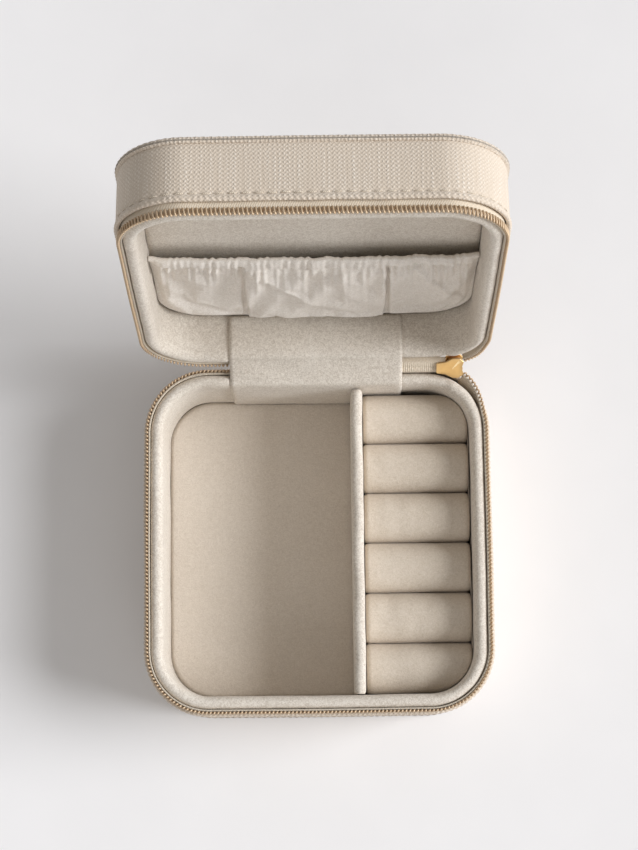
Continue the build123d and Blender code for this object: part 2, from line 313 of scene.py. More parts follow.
def join_lofts(name, blocks, material):
    """Many closed lofts, sections (n, m, 3) each, in one mesh."""
    faces = []
    first = 0
    for sections in blocks:
        n, m, _ = sections.shape
        faces += grid_faces(n, m, wrap_cols=True, first=first)
        faces += [tuple(range(first, first + m)), tuple(range(first + (n - 1) * m, first + n * m))]
        first += n * m
    verts = np.vstack([sections.reshape(-1, 3) for sections in blocks])
    uv = np.vstack([loft_uv(sections).reshape(-1, 2) for sections in blocks])
    return new_object(name, verts, faces, uv, material)


# ------------------------------------------------------------------ materials
def srgb(*display):
    """A colour given as 0-255 display values, as linear light."""
    shares = [c / 255 for c in display]
    return tuple(c / 12.92 if c <= 0.04045 else ((c + 0.055) / 1.055) ** 2.4 for c in shares) + (1.0,)


class Shader:
    """A small helper that strings nodes together in one material."""

    def __init__(self, name):
        self.material = bpy.data.materials.new(name)
        self.material.use_nodes = True
        self.tree = self.material.node_tree
        self.nodes, self.links = self.tree.nodes, self.tree.links
        self.bsdf = self.nodes["Principled BSDF"]

    def put(self, socket, value):
        """Links value to the socket where it is another node's output, or else sets it there."""
        if isinstance(value, bpy.types.NodeSocket):
            self.links.new(value, socket)
        elif value is not None:
            socket.default_value = value

    def math(self, operation, a, b=None, c=None):
        """A maths node's output; each of a, b and c is a number or another node's output."""
        node = self.nodes.new("ShaderNodeMath")
        node.operation = operation
        for socket, value in zip(node.inputs, (a, b, c)):
            self.put(socket, value)
        return node.outputs[0]

    def times(self, a, b):
        return self.math("MULTIPLY", a, b)

    def times_plus(self, a, b, c):
        """a * b + c"""
        return self.math("MULTIPLY_ADD", a, b, c)

    def coordinates(self, kind="UV", scale=(1, 1, 1), turn=0.0):
        source = self.nodes.new("ShaderNodeTexCoord").outputs[kind]
        mapping = self.nodes.new("ShaderNodeMapping")
        mapping.inputs["Scale"].default_value = scale
        mapping.inputs["Rotation"].default_value = (0, 0, turn)
        self.links.new(source, mapping.inputs["Vector"])
        return mapping.outputs[0]

    def noise(self, vector, scale, detail=3.0, roughness=0.55, distortion=0.0, output="Fac"):
        node = self.nodes.new("ShaderNodeTexNoise")
        self.links.new(vector, node.inputs["Vector"])
        node.inputs["Scale"].default_value = scale
        node.inputs["Detail"].default_value = detail
        node.inputs["Roughness"].default_value = roughness
        node.inputs["Distortion"].default_value = distortion
        return node.outputs[output]

    def ramp(self, factor, *stops):
        node = self.nodes.new("ShaderNodeValToRGB")
        self.links.new(factor, node.inputs[0])
        elements = node.color_ramp.elements
        while len(elements) < len(stops):
            elements.new(0.5)
        for element, (position, colour) in zip(elements, stops):
            element.position, element.color = position, colour
        return node.outputs[0]

    def mix(self, factor, a, b):
        node = self.nodes.new("ShaderNodeMix")
        node.data_type = "RGBA"
        self.put(node.inputs["Factor"], factor)
        self.put(node.inputs["A"], a)
        self.put(node.inputs["B"], b)
        return node.outputs["Result"]

    def stretch(self, value, low, high, to_low=0.0, to_high=1.0):
        """value, with low to high mapped onto to_low to to_high and held at both ends."""
        node = self.nodes.new("ShaderNodeMapRange")
        for socket, v in zip(node.inputs, (value, low, high, to_low, to_high)):
            self.put(socket, v)
        return node.outputs[0]

    def split(self, vector):
        node = self.nodes.new("ShaderNodeSeparateXYZ")
        self.links.new(vector, node.inputs[0])
        return node.outputs[0], node.outputs[1], node.outputs[2]

    def shake(self, vector, scale, detail, strength):
        """vector moved by up to half of strength each way on every axis, by a noise of its own."""
        other = self.noise(vector, scale, detail, roughness=0.5, output="Color")
        shifted = self.nodes.new("ShaderNodeVectorMath")
        shifted.operation = "SUBTRACT"
        self.links.new(other, shifted.inputs[0])
        shifted.inputs[1].default_value = (0.5, 0.5, 0.5)
        scaled = self.nodes.new("ShaderNodeVectorMath")
        scaled.operation = "MULTIPLY_ADD"
        self.links.new(shifted.outputs[0], scaled.inputs[0])
        scaled.inputs[1].default_value = (strength, strength, strength)
        self.links.new(vector, scaled.inputs[2])
        return scaled.outputs[0]

    def bump(self, height, distance):
        """A normal for height, whose full range is distance in mm."""
        node = self.nodes.new("ShaderNodeBump")
        self.links.new(height, node.inputs["Height"])
        node.inputs["Distance"].default_value = distance * MM
        node.inputs["Strength"].default_value = 1.0
        return node.outputs[0]

    def finish(self, colour, roughness, normal=None, sheen=0.0, sheen_roughness=0.5, sheen_tint=None,
               metallic=0.0, specular=0.3):
        b = self.bsdf.inputs
        self.put(b["Base Color"], colour)
        self.put(b["Roughness"], roughness)
        self.put(b["Normal"], normal)
        b["Sheen Weight"].default_value = sheen
        b["Sheen Roughness"].default_value = sheen_roughness
        if sheen_tint:
            b["Sheen Tint"].default_value = sheen_tint
        b["Metallic"].default_value = metallic
        b["Specular IOR Level"].default_value = specular
        b["Coat Weight"].default_value = 0.0
        return self.material


def canvas_material(name, turn=0.0, thread=0.62, relief=0.13):
    """Coarse plain weave with slubs and a few darker yarns; thread is a yarn's width in mm. UV is in metres."""
    m = Shader(name)
    uv = m.shake(m.coordinates("UV", turn=turn), 190.0, 3.0, 0.0013)
    u, v, _ = m.split(uv)
    pull = math.pi / (thread * MM)
    warp = m.math("SINE", m.times(u, pull))
    weft = m.math("SINE", m.times(v, pull * 1.04))
    # the product of the two waves is high where a warp yarn lies on top and low where a weft yarn does
    cross = m.times_plus(warp, 0.22, m.times(m.times(warp, weft), 0.78))
    height = m.math("POWER", m.stretch(cross, -0.35, 0.9), 0.8)
    on_top = m.stretch(cross, -0.25, 0.25)
    warp_slub = m.noise(m.coordinates("UV", (2000.0, 60.0, 1.0), turn), 1.0, 2.0)
    weft_slub = m.noise(m.coordinates("UV", (60.0, 2000.0, 1.0), turn), 1.0, 2.0)
    slub = m.math("ADD", m.times(warp_slub, on_top), m.times(weft_slub, m.math("SUBTRACT", 1.0, on_top)))
    fibre = m.noise(uv, 5200.0, 3.0, 0.7)
    height = m.times(height, m.stretch(slub, 0.25, 0.75, 0.45, 1.15))
    height = m.times_plus(fibre, 0.22, height)
    yarn = m.ramp(
        slub, (0.28, srgb(202, 186, 167)), (0.5, srgb(221, 208, 192)), (0.74, srgb(236, 227, 215))
    )
    # the weave's low places take the darker colour: painted shade between the yarns
    colour = m.mix(m.stretch(height, 0.12, 0.85), srgb(208, 193, 175), yarn)
    patch = m.noise(m.coordinates("UV"), 55.0, 3.0)
    colour = m.mix(m.stretch(patch, 0.35, 0.75, 0.0, 0.35), colour, srgb(216, 200, 180))
    fleck = m.noise(m.coordinates("UV"), 1500.0, 1.0)
    colour = m.mix(m.stretch(fleck, 0.74, 0.80, 0.0, 0.45), colour, srgb(150, 122, 88))
    normal = m.bump(height, relief)
    return m.finish(colour, 0.92, normal, sheen=0.18, sheen_roughness=0.6, specular=0.15)


def suede_material(name, light, dark, contrast, relief=0.14):
    """Microsuede: a short nap whose lie turns in small patches."""
    m = Shader(name)
    at = m.coordinates("Object")
    nap = m.noise(m.shake(at, 840.0, 2.0, 0.0006), 1050.0, 5.0, 0.68, 0.6)
    pile = m.noise(at, 2500.0, 3.0, 0.75)
    broad = m.noise(at, 42.0, 2.0)
    both = m.times_plus(broad, 0.18, m.times_plus(pile, 0.80, m.times(nap, 0.55)))
    middle, spread = 0.765, 0.17 / contrast
    colour = m.mix(m.stretch(both, middle - spread, middle + spread), dark, light)
    normal = m.bump(m.times_plus(pile, 0.6, nap), relief)
    tint = (1.0, 0.98, 0.96, 1.0)
    return m.finish(colour, 0.95, normal, sheen=0.25, sheen_roughness=0.45, sheen_tint=tint, specular=0.12)


def tape_material(name, light, dark):
    """Woven zip tape: fine herringbone ribs along its length. UV is in metres."""
    m = Shader(name)
    uv = m.coordinates("UV")
    u, v, _ = m.split(uv)
    rib_pitch, herring_width = 0.42 * MM, 1.1 * MM
    side = m.math("PINGPONG", m.times(v, 1 / herring_width), 1.0)
    rib = m.math("SINE", m.math("ADD", m.times(u, 2 * math.pi / rib_pitch), m.times(side, 5.0)))
    fibre = m.noise(uv, 3800.0, 3.0, 0.7)
    height = m.times_plus(rib, 0.35, fibre)
    # the grooves between the ribs take the dark tone: painted shade, over the fibres' own uneven tone
    colour = m.mix(m.stretch(height, 0.1, 0.95), dark, light)
    return m.finish(colour, 0.8, m.bump(height, 0.07), sheen=0.2, specular=0.25)


def gold_material(name, colour, edge_wear_and_highlight, roughness, metallic=1.0):
    """Plated gold: fine brushing, faint smudges, and paler raised edges that are both wear and a painted
    highlight.
    """
    m = Shader(name)
    at = m.coordinates("Object")
    smudge = m.noise(at, 420.0, 4.0, 0.6)
    hair = m.noise(m.coordinates("Object", (1.0, 9.0, 9.0)), 700.0, 2.0)
    point = m.nodes.new("ShaderNodeNewGeometry").outputs["Pointiness"]
    # raised edges turn paler: partly wear, partly a painted highlight
    edge = m.stretch(point, 0.51, 0.58)
    tone = m.mix(edge, colour, edge_wear_and_highlight)
    tone = m.mix(m.stretch(smudge, 0.4, 0.8, 0.0, 0.25), tone, srgb(176, 132, 74))
    rough = m.times_plus(smudge, 0.22, roughness - 0.08)
    rough = m.times_plus(hair, 0.08, rough)
    normal = m.bump(m.math("ADD", smudge, hair), 0.012)
    return m.finish(tone, rough, normal, metallic=metallic, specular=0.5)


def board_material(name):
    """Grey-brown paperboard: pressed fibres and specks."""
    m = Shader(name)
    at = m.coordinates("Object")
    fibre = m.noise(at, 900.0, 5.0, 0.75, 1.5)
    speck = m.noise(at, 2600.0, 1.0)
    colour = m.mix(m.stretch(fibre, 0.3, 0.7), srgb(150, 134, 110), srgb(178, 162, 136))
    colour = m.mix(m.stretch(speck, 0.7, 0.78), colour, srgb(105, 90, 72))
    return m.finish(colour, 0.9, m.bump(fibre, 0.05))


def thread_material(name, light, dark):
    """Twisted sewing thread. UV is in metres."""
    m = Shader(name)
    u, v, _ = m.split(m.coordinates("UV"))
    ply_pitch = 0.45 * MM
    twist = m.math("SINE", m.times(m.math("ADD", u, m.times(v, 0.7)), 2 * math.pi / ply_pitch))
    fuzz = m.noise(m.coordinates("Object"), 6000.0, 2.0)
    height = m.times_plus(twist, 0.5, fuzz)
    # the twist's grooves take the dark tone: painted shade between the plies
    colour = m.mix(m.stretch(height, 0.0, 1.0), dark, light)
    return m.finish(colour, 0.75, m.bump(height, 0.05), sheen=0.2, specular=0.25)


CANVAS = canvas_material("ecru_canvas")
BIAS_CANVAS = canvas_material("bias_canvas", turn=math.radians(45), thread=0.74, relief=0.26)
SUEDE = suede_material("ivory_microsuede", srgb(230, 222, 210), srgb(199, 188, 174), 1.5)
FLOOR_SUEDE = suede_material("floor_microsuede", srgb(234, 224, 211), srgb(213, 201, 186), 0.9)
ROLL_SUEDE = suede_material("roll_microsuede", srgb(222, 210, 195), srgb(201, 187, 168), 0.9)
# the pocket's suede is a paler copy of the lining's: painted light for the brighter light it catches
POCKET_SUEDE = suede_material("pocket_microsuede", srgb(242, 236, 228), srgb(216, 207, 196), 1.0, relief=0.08)
TAPE = tape_material("zip_tape_weave", srgb(240, 229, 212), srgb(206, 188, 162))
COIL_GOLD = gold_material("coil_gold", srgb(130, 108, 85), srgb(206, 182, 152), 0.42, metallic=0.4)
GOLD = gold_material("slider_gold", srgb(232, 190, 126), srgb(252, 226, 178), 0.27)
BOARD = board_material("paperboard")
THREAD = thread_material("sewing_thread", srgb(234, 223, 207), srgb(200, 183, 158))
ELASTIC = tape_material("elastic_weave", srgb(236, 232, 222), srgb(200, 194, 180))


# ------------------------------------------------------------------ camera, light and floor
def add_light(name, kind, energy, colour, towards, at=(0.0, 0.0, 0.0)):
    """A light at a place, shining along towards."""
    light = bpy.data.lights.new(name, kind)
    light.energy, light.color = energy, colour
    obj = bpy.data.objects.new(name, light)
    obj.location = at
    obj.rotation_euler = Vector(towards).to_track_quat("-Z", "Y").to_euler()
    bpy.context.scene.collection.objects.link(obj)
    return light


def stage_everything():
    """The camera, the world, a soft sun from the right, a fill at the front, and the floor."""
    scene = bpy.context.scene
    scene.view_settings.view_transform = "Standard"
    camera_data = bpy.data.cameras.new("camera")
    camera_data.lens = 85.7
    camera_data.clip_start, camera_data.clip_end = 0.01, 20.0
    camera = bpy.data.objects.new("camera", camera_data)
    camera.location = (0.00296, -0.0531, 0.6230)
    tilt = Matrix.Rotation(math.radians(8.36), 4, "X")
    yaw = Matrix.Rotation(math.radians(0.22), 4, "Y")
    roll = Matrix.Rotation(math.radians(-0.73), 4, "Z")
    camera.rotation_euler = (tilt @ yaw @ roll).to_euler()
    scene.collection.objects.link(camera)
    scene.camera = camera

    world = bpy.data.worlds.new("studio")
    world.use_nodes = True
    background = world.node_tree.nodes["Background"]
    background.inputs["Color"].default_value = (1.0, 0.985, 0.975, 1.0)
    background.inputs["Strength"].default_value = 0.34
    scene.world = world

    key = add_light("key", "SUN", 3.6, (0.965, 0.985, 1.02), (-0.86, 0.0, -0.50))
    key.angle = math.radians(34)
    fill_at, fill_aim = Vector((0.0, -0.80, 0.50)), Vector((0.0, 0.07, 0.08))
    fill = add_light("front_fill", "AREA", 1.45, (1.0, 0.975, 0.955), fill_aim - fill_at, fill_at)
    fill.size = 0.8

    m = Shader("studio_floor")
    grain = m.noise(m.coordinates("Object"), 30.0, 2.0)
    grey = m.mix(m.stretch(grain, 0.3, 0.7), (0.86, 0.845, 0.84, 1), (0.88, 0.865, 0.86, 1))
    reach = 4.0
    corners = [(-reach, -reach, 0), (reach, -reach, 0), (reach, reach, 0), (-reach, reach, 0)]
    floor = new_object("studio_floor", corners, [(0, 1, 2, 3)], None, m.finish(grey, 0.9, specular=0.1))


# ------------------------------------------------------------------ canvas shell
WELT_R = 0.95
WELT_OUT = 0.46                                   # how far its middle stands outside the zip line
STITCH_DEPTH = TAPE_BARE + 2.1
STITCH_PITCH = 3.3


def welt_centre(side):
    """The depth of the piping's middle."""
    return DEPTH[side] - 0.2 - WELT_R


def canvas_band(side):
    """The canvas strip round the case: folded at the zip, sewn down, tucked under the welt."""
    seam = welt_centre(side) - 0.62
    mid = (STITCH_DEPTH + seam) / 2
    fold = TAPE_BARE
    loop = np.array([
        (-0.15, fold + 0.9), (-0.15, fold + 0.4), (0.1, fold), (0.55, fold - 0.15), (0.98, fold),
        (1.24, fold + 0.55), (1.14, fold + 1.2), (0.82, STITCH_DEPTH - 0.45), (0.60, STITCH_DEPTH),
        (0.80, STITCH_DEPTH + 0.5), (0.86, STITCH_DEPTH + 1.4),
        (0.88, mid), (0.84, seam - 1.6), (0.74, seam - 0.6), (0.4, seam), (-0.1, seam + 0.1),
        (-0.2, seam - 0.6), (-0.2, mid),
    ])

    def ripple(s, offset, depth):
        stitch = 0.5 + 0.5 * np.cos(2 * np.pi * s / STITCH_PITCH)
        near = bell(depth - STITCH_DEPTH, 0.8)
        edge = smooth((fold + 1.3 - depth) / 0.9)
        face = smooth((offset - 0.2) / 0.4)
        swell = 0.10 * waves(31, s / 41.0, depth / 30.0)
        rope = 0.13 * np.sin(2 * np.pi * (s / 1.5 + depth / 2.4)) * edge
        offset = offset + face * (swell - 0.12 * near * (1 - stitch) + rope)
        return offset, depth + edge * 0.12 * waves(12, s / 23.0)

    piece = ring(f"{side}_canvas_strip", side, 0.27, round_profile(loop, 0.5), ripple, CANVAS)
    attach(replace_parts(piece, f"{side}_canvas_band"), side)


def filled_outline(side, offset, rings, height, name, material, rim_points, back):
    """A panel over the whole outline: height(x, v) is the depth of its face. rim_points are (offset,
    depth) pairs that carry its edge down and under to its back face at depth back."""
    s = around(2.0)
    outline = rim(s, offset)
    rows = []
    for share in np.arange(1, rings + 1) / rings:
        face = outline * share
        rows.append(lift(face, height(face[:, 0], face[:, 1])))
    rows += [lift(rim(s, far_offset), depth) for far_offset, depth in rim_points]
    n = len(s)
    faces = grid_faces(len(rows), n, wrap_cols=True)
    centre = [(0.0, 0.0, height(np.zeros(1), np.zeros(1))[0]), (0.0, 0.0, back)]
    verts = np.vstack(rows + [centre])
    first_centre, back_centre = len(verts) - 2, len(verts) - 1
    last = (len(rows) - 1) * n
    for k in range(n):
        faces.append((first_centre, k, (k + 1) % n))
        faces.append((back_centre, last + (k + 1) % n, last + k))
    uv = np.column_stack([verts[:, 0], verts[:, 1] + verts[:, 2]]) * MM
    return new_object(name, place(side, verts), faces, uv, material)


def canvas_panel(side):
    """The canvas over a half's outside, flat under the base and a little crowned over the lid."""
    deep = DEPTH[side]
    crown, unevenness = (0.35, 0.04) if side == "lid" else (0.0, 0.0)

    def height(x, v):
        edge = np.maximum(np.abs(x), np.abs(v)) / HALF
        drop = crown * smooth((edge - 0.55) / 0.45)
        return deep - drop + unevenness * waves(51, x / 30.0, v / 30.0)

    back = deep - 0.95
    piece = filled_outline(
        side, -1.5, 26, height, f"{side}_canvas_cover", CANVAS,
        [(-1.05, deep - crown - 0.12), (-0.72, deep - 0.60), (-0.7, back)], back,
    )
    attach(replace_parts(piece, f"{side}_canvas_panel"), side)


def welt(side):
    """Piping of bias-cut canvas over a cord, in the seam between strip and panel."""
    middle = welt_centre(side)
    angle = np.arange(14) * 2 * math.pi / 14
    loop = np.column_stack([WELT_OUT + WELT_R * np.cos(angle), middle + WELT_R * np.sin(angle)])
    pressed = 0.92 if side == "base" else 1.0     # the base's is flatter, clear of the ground

    def ripple(s, offset, depth):
        out, down = offset - WELT_OUT, depth - middle
        rope = 1 + 0.09 * np.sin(2 * np.pi * s / 1.9 + 3.0 * np.arctan2(down, out)) + 0.02 * waves(61, s / 3.0)
        return WELT_OUT + out * rope, middle + down * np.minimum(rope, 1.05) * pressed

    piece = ring(f"{side}_piping", side, 0.45, loop, ripple, BIAS_CANVAS)
    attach(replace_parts(piece, f"{side}_welt"), side)


def topstitch(side):
    """One row of lockstitch along the canvas edge, each stitch its own short bar of thread."""
    count = int(PERIMETER / STITCH_PITCH)
    pitch = PERIMETER / count
    rng = np.random.default_rng(71 if side == "lid" else 72)
    blocks = []
    radius = 0.18 * np.array([0.45, 0.85, 1.0, 1.05, 1.0, 0.85, 0.45])
    t = np.linspace(-0.5, 0.5, len(radius))
    proud = 0.84 - 0.36 * (2 * t) ** 4
    for k in range(count):
        s = (k + 0.5) * pitch + t * pitch * 0.74
        shift = rng.normal(0, 0.05)
        flat = rim(s, proud)
        line = lift(flat, STITCH_DEPTH + shift + 0.14 * t)
        out = lift(flat - rim(s, proud - 1.0), 0.0)
        blocks.append(place(side, tube(line, out, radius, 6, squash=0.75)))
    piece = join_lofts(f"{side}_topstitch", blocks, THREAD)
    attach(piece, side)


# ------------------------------------------------------------------ zip halves
ZIP_FIRST = 23.0                                  # both halves start here, left of the hinge's middle
ZIP_LAST = 7 * STRAIGHT + 3 * ARC + CORNER_R * math.radians(55.0)
FLARE_FROM = 7 * STRAIGHT + 3 * ARC + CORNER_R * math.radians(12.0)
FLARE = 2.3
COIL_PITCH = 1.13


def flare(s):
    """How far the halves swing out towards the slider's mouth."""
    return FLARE * smooth((s - FLARE_FROM) / (ZIP_LAST - FLARE_FROM))


def zip_line(s, offset):
    """Points of a half's zip: the rim's line, with the flare at the slider."""
    return rim(s, offset + flare(s))


def zip_tape(side):
    """The bare tape between the coil and the canvas, a little wavy; it follows the flare at its free edge."""
    s = np.linspace(ZIP_FIRST, ZIP_LAST, 420)
    thick = 0.5
    depth = np.array([0.75, 1.2, 2.0, 2.8, 3.6, 4.6, 6.0])
    sway = np.array([0.0, 0.0, 0.06, 0.18, 0.16, 0.04, 0.0])
    seed, amount = (81, 0.9) if side == "lid" else (82, 0.4)
    inner = -0.9 + amount * waves(seed, s / 16.0)[:, None] * sway
    depth = np.concatenate([depth, depth[::-1]])
    offset = np.concatenate([inner, inner[:, ::-1] + thick], 1)
    fade = np.clip((5.2 - depth) / 3.0, 0, 1)
    sections = lift(rim(s[:, None], offset + flare(s)[:, None] * fade), depth)
    piece = loft(f"{side}_tape", place(side, sections), False, TAPE, along=s * MM)
    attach(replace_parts(piece, f"{side}_zip_tape"), side)


def coil_rings(s, line, out, down, wide, deep, wire):
    """The rings of one wound coil: line is its middle, out and down its two directions."""
    phase = -2 * math.pi * s / COIL_PITCH
    reach, rise = (np.sign(wave) * np.abs(wave) ** 0.75 for wave in (np.cos(phase), np.sin(phase)))
    path = line + out * (wide * reach)[:, None] + down * (deep * rise)[:, None]
    return tube(path, np.cross(out, down), wire, 6)


def zip_coil(side):
    """A wound coil sewn along the tape: flattened loops with their heads on the inner edge."""
    s = np.arange(ZIP_FIRST - 1.0, ZIP_LAST, COIL_PITCH / 12)
    wire = 0.27
    middle_out, wide = 0.10, 0.23
    middle_deep, deep = 1.30, 0.93
    flat = zip_line(s, middle_out)
    out = lift(zip_line(s, middle_out + 1.0) - flat, 0.0)
    rings = coil_rings(s, lift(flat, middle_deep), out, Z_AXIS, wide, deep, wire)
    piece = join_lofts(f"{side}_coil", [place(side, rings)], COIL_GOLD)
    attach(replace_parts(piece, f"{side}_zip_coil"), side)


# ------------------------------------------------------------------ linings
STRAP_HALF = 25.4


def wall_lining(side):
    """Suede over foam: a fat lip over the board's edge, then the wall down to the floor."""
    low = FLOOR_DEPTH[side] + 0.8
    loop = np.array([
        (-2.35, 4.4), (-1.3, 3.8), (-1.0, 2.8), (-1.05, 1.8), (-1.6, 0.9), (-2.6, 0.5), (-3.6, 0.65),
        (-4.3, 1.3), (-4.68, 2.6), (-4.76, 4.2), (-4.70, 6.0), (LINING_IN, 10.0), (LINING_IN, low - 3.0),
        (-4.76, low - 1.2), (-4.70, low), (-2.6, low), (-2.5, low - 4.0), (-2.5, 6.0),
    ])
    seed = 91 if side == "lid" else 95

    def ripple(s, offset, depth):
        lip = smooth((4.6 - depth) / 2.0)
        inner = smooth((-4.2 - offset) / 0.4)
        soft = waves(seed, s / 26.0, depth / 9.0)
        pucker = waves(seed + 1, s / 3.4) * corner_weight(s)
        # under the strap the lip is pressed down, and a little less along the slider's run
        from_right = PERIMETER - s
        strap_press = 1.25 * smooth(STRAP_HALF + 0.2 - np.minimum(s, from_right))
        slider_press = 0.75 * smooth((43.0 - from_right) / 4.0)
        depth = depth + lip * (0.10 * soft + 0.05 * pucker + np.maximum(strap_press, slider_press))
        offset = offset + lip * 0.06 * waves(seed + 2, s / 14.0) + inner * (1 - lip) * 0.12 * soft
        return offset, depth

    piece = ring(f"{side}_lining", side, 0.9, round_profile(loop, 0.55), ripple, SUEDE)
    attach(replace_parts(piece, f"{side}_wall_lining"), side)


def floor_pad(side, name, node, material, thick):
    """A suede-covered card: flat, its edge turned over, with the faint unevenness of glued cloth."""
    near = FLOOR_DEPTH[side]

    def height(x, v):
        edge = rim_distance(x, v)
        return near + 0.30 * np.exp(-(edge / 0.7)) + 0.07 * waves(101, x / 33.0, v / 27.0) - 0.05

    piece = filled_outline(
        side, LINING_IN - 0.10, 40, height, name, material,
        [(LINING_IN - 0.12, near + 0.9), (LINING_IN - 0.12, near + thick)], near + thick,
    )
    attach(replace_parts(piece, node), side)


def rim_distance(x, v):
    """How far a place on a pad lies inside the lining's face."""
    inner = HALF + LINING_IN
    r = CORNER_R + LINING_IN
    dx, dv = np.abs(x) - (inner - r), np.abs(v) - (inner - r)
    outside = np.hypot(np.maximum(dx, 0), np.maximum(dv, 0)) + np.minimum(np.maximum(dx, dv), 0)
    return r - outside


# ------------------------------------------------------------------ divider and ring rolls
def divider():
    """A suede-wrapped card with a round padded top."""
    x0, x1, y0, y1, z0, z1 = node_box("divider_cover")
    mid, half = (x0 + x1) / 2, (x1 - x0) / 2
    rise = 1.55
    bend = np.linspace(-math.pi / 2, math.pi / 2, 15)
    top = [(half * math.sin(a), z1 - rise + rise * math.cos(a)) for a in bend]
    side = [(half, z) for z in np.linspace(z1 - 3.0, z0 + 0.2, 12)]
    loop = np.array(top + side + [(-x, z) for x, z in side[::-1]])
    y = np.linspace(y0, y1, 150)
    sections = np.zeros((len(y), len(loop), 3))
    end = np.minimum(y - y0, y1 - y)
    tuck = 1 - 0.22 * np.exp(-(end / 0.5))
    upper = smooth((loop[:, 1] - (z1 - 6.0)) / 5.0)
    sections[..., 0] = mid + loop[:, 0] * tuck[:, None] * (1 + 0.05 * waves(111, y / 24.0)[:, None] * upper)
    sections[..., 0] += 0.16 * waves(112, y / 38.0)[:, None] * upper
    sections[..., 1] = y[:, None]
    sag = 0.14 * waves(113, y / 19.0) - 0.35 * np.exp(-(end / 0.7))
    sections[..., 2] = loop[:, 1] + upper * sag[:, None]
    piece = loft("divider_sleeve", place("row", sections), False, SUEDE)
    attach(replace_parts(piece, "divider_cover"), "base")


def ring_roll(index):
    """A foam roll in suede: a full round top that leans on its neighbours, its ends tucked in."""
    x0, x1, y0, y1, z0, z1 = node_box(f"ring_roll_{index}")
    mid, half = (y0 + y1) / 2, (y1 - y0) / 2
    x = x0 + (x1 - x0) * (0.5 - 0.5 * np.cos(np.linspace(0, math.pi, 60)))
    round_r = 6.4
    loop = [(half + 0.02, z0)]
    loop += [(half + 0.02, z) for z in np.linspace(z0 + 2, z1 - round_r, 5)]
    for a in np.linspace(0.1, math.pi / 2, 12):
        loop.append((half - round_r + round_r * math.cos(a), z1 - round_r + round_r * math.sin(a)))
    loop = np.array(loop + [(-y, z) for y, z in loop[::-1]])
    edge = quarter_round(np.minimum(x - x0, x1 - x) / 1.5)
    upper = smooth((loop[:, 1] - (z0 + 6.0)) / 9.0)
    sections = np.zeros((len(x), len(loop), 3))
    sections[..., 0] = x[:, None]
    y = mid + loop[:, 0] * (1 - 0.10 * (1 - edge[:, None]) * upper)
    swell = 0.16 * waves(120 + index, x / 17.0)[:, None]
    swell = swell + 0.10 * waves(130 + index, x[:, None] / 12.0, loop[:, 0] / 9.0)
    z = loop[:, 1] - upper * 1.5 * (1 - edge[:, None]) + upper * swell
    y = y + 0.12 * waves(140 + index, x / 21.0)[:, None] * upper * (np.abs(loop[:, 0]) < half * 0.9)
    sections[..., 1], sections[..., 2] = y, z
    # the outer corners of the first and last roll follow the lining's round corners
    r = CORNER_R + LINING_IN - 0.25
    over_x = np.maximum(sections[..., 0] - STRAIGHT, 0)
    over_y = np.maximum(np.abs(sections[..., 1]) - STRAIGHT, 0)
    far = np.hypot(over_x, over_y)
    pull = r / np.maximum(far, 1e-6)
    sections[..., 0] = np.where(far > r, STRAIGHT + over_x * pull, sections[..., 0])
    round_y = np.sign(sections[..., 1]) * (STRAIGHT + over_y * pull)
    sections[..., 1] = np.where(far > r, round_y, sections[..., 1])
    piece = loft(f"roll_{index}", place("row", sections), False, ROLL_SUEDE)
    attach(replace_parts(piece, f"ring_roll_{index}"), "base")


# ------------------------------------------------------------------ soft hinge
def hinge_path(inset, low, rise, reach, high, turn):
    """The (y, z) way of a strip up the base's back, over the hinge and up the lid, in mm."""
    def chain(along, up):
        return (HINGE + ACROSS * along + INWARD * up)[1:]

    def lid(v, depth):
        return (FRAMES["lid"][0] + LID_DOWN * v + LID_OUT * depth)[1:]

    up_the_back = [(inset, low), (inset, HINGE[2] - turn)]
    return np.array(up_the_back + [chain(-reach, rise), chain(reach, rise), lid(inset, turn), lid(inset, high)])


def bend_with_lid(piece):
    """Bakes a piece's placement into its mesh points."""
    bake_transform(piece)


def strip(name, path, half, thick, material, ripple):
    """A flat strip swept across x, its middle line given as (y, z) points; ripple(x, t) moves its face."""
    at = lengths(path)
    normal = leftward(directions(path))
    x = np.linspace(-half, half, int(2 * half) + 1)
    half_thick = thick / 2 * np.maximum(quarter_round(np.minimum(half - x, half + x) / 0.5), 0.2)[:, None]
    proud = ripple(x[:, None], at[None, :])
    upper = path + normal * (proud + half_thick)[..., None]
    lower = path + normal * (proud * 0.7 - half_thick)[..., None]
    loop = np.concatenate([upper, lower[:, ::-1]], 1)
    sections = np.dstack([np.broadcast_to(x[:, None], loop.shape[:2]), loop])
    return loft(name, place("row", sections), False, material)


def strap():
    """The suede strap inside, up the base's lining, over the hinge and along the lid's to its ceiling."""
    corner_path = hinge_path(HALF + LINING_IN - 0.45, 4.7, 1.5, 2.2, 13.9, 1.25)
    path = resample(soften(corner_path, 3), 0.7)
    hinge_at = lengths(path)[np.argmin(np.linalg.norm(path - HINGE[1:], axis=1))]

    def ripple(x, t):
        past = t - hinge_at
        edges = 0.18 * smooth(1 - (STRAP_HALF - np.abs(x)) / 1.4)
        creases = 0.35 * bell(past + 3.6 + 0.4 * waves(151, x / 20.0), 0.6)
        creases = creases + 0.30 * bell(past - 3.4 - 0.4 * waves(152, x / 18.0), 0.55)
        soft = 0.22 * bell(past, 5.0) * waves(153, x / 13.0, t / 9.0) + 0.10 * waves(154, x / 22.0, t / 17.0)
        return edges + soft - creases

    piece = strip("suede_strap", path, STRAP_HALF, 0.8, SUEDE, ripple)
    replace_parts(piece, "hinge_strap")
    bend_with_lid(piece)


SPINE_HALF = 22.0


